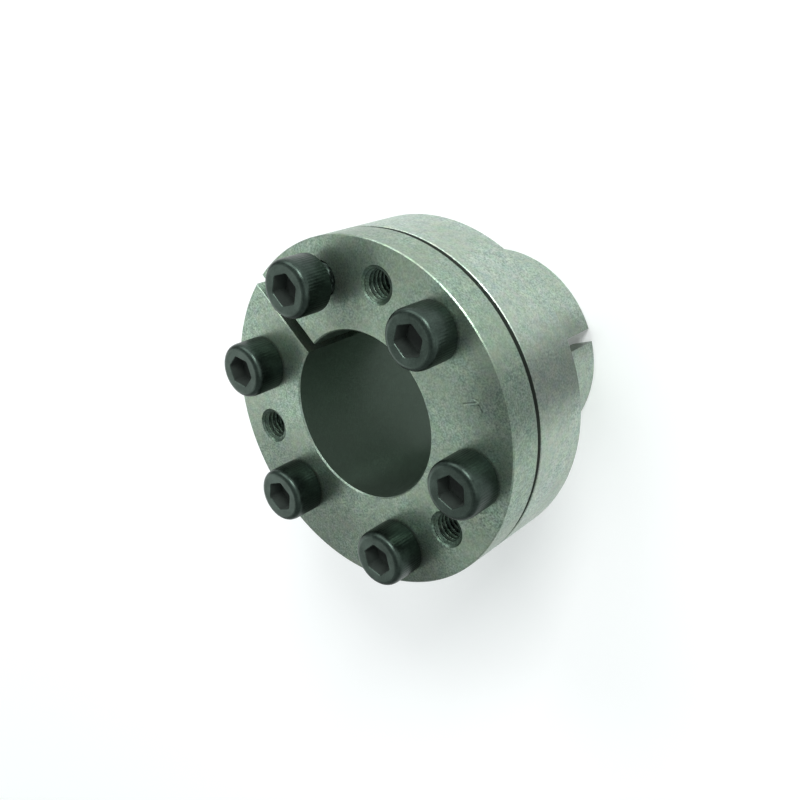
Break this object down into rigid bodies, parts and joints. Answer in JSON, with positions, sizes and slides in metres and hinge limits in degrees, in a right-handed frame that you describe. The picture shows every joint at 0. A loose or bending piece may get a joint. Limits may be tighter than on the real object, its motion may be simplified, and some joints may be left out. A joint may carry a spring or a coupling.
{
  "type": "keyless locking assembly",
  "caption": "Self-centring taper clamping unit that locks a hub to a plain shaft: flanged slit rings drawn together by socket head screws, with tapped jacking holes for release.",
  "frame": {"origin": "centre of the bore at the flat free end of the sleeve, which it stands on", "axes": "+Z along the bore axis from the sleeve end towards the screw heads; +X through one slit of the outer sleeve, midway between two screws"},
  "size_m": [0.062, 0.062, 0.0519],
  "materials": {
    "ring_steel": "satin, finely turned and lightly phosphated grey steel",
    "black_screw_steel": "black oxide, semi-gloss, finely knurled head"
  },
  "bodies": {
    "outer_ring": {"outer_ring": "ring_steel"},
    "inner_ring": {"inner_ring": "ring_steel"},
    "screw_1": {"cap_screw_1": "black_screw_steel"},
    "screw_2": {"cap_screw_2": "black_screw_steel"},
    "screw_3": {"cap_screw_3": "black_screw_steel"},
    "screw_4": {"cap_screw_4": "black_screw_steel"},
    "screw_5": {"cap_screw_5": "black_screw_steel"},
    "screw_6": {"cap_screw_6": "black_screw_steel"}
  },
  "joints": [
    {"name": "inner_ring_slide", "type": "slide", "parent": "outer_ring", "child": "inner_ring", "axis": [0, 0, 1], "range_m": [0, 0.007]},
    {"name": "screw_1_turn", "type": "hinge", "parent": "inner_ring", "child": "screw_1", "pos_m": [0.02078, 0.012, 0.0435], "axis": [0, 0, 1], "range_deg": [0, 2520]},
    {"name": "screw_2_turn", "type": "hinge", "parent": "inner_ring", "child": "screw_2", "pos_m": [0, 0.024, 0.0435], "axis": [0, 0, 1], "range_deg": [0, 2520]},
    {"name": "screw_3_turn", "type": "hinge", "parent": "inner_ring", "child": "screw_3", "pos_m": [-0.02078, 0.012, 0.0435], "axis": [0, 0, 1], "range_deg": [0, 2520]},
    {"name": "screw_4_turn", "type": "hinge", "parent": "inner_ring", "child": "screw_4", "pos_m": [-0.02078, -0.012, 0.0435], "axis": [0, 0, 1], "range_deg": [0, 2520]},
    {"name": "screw_5_turn", "type": "hinge", "parent": "inner_ring", "child": "screw_5", "pos_m": [0, -0.024, 0.0435], "axis": [0, 0, 1], "range_deg": [0, 2520]},
    {"name": "screw_6_turn", "type": "hinge", "parent": "inner_ring", "child": "screw_6", "pos_m": [0.02078, -0.012, 0.0435], "axis": [0, 0, 1], "range_deg": [0, 2520]}
  ],
  "couplings": [
    {"joint": "screw_1_turn", "follows": "inner_ring_slide", "rad_per_m": 6283.2},
    {"joint": "screw_2_turn", "follows": "inner_ring_slide", "rad_per_m": 6283.2},
    {"joint": "screw_3_turn", "follows": "inner_ring_slide", "rad_per_m": 6283.2},
    {"joint": "screw_4_turn", "follows": "inner_ring_slide", "rad_per_m": 6283.2},
    {"joint": "screw_5_turn", "follows": "inner_ring_slide", "rad_per_m": 6283.2},
    {"joint": "screw_6_turn", "follows": "inner_ring_slide", "rad_per_m": 6283.2}
  ]
}
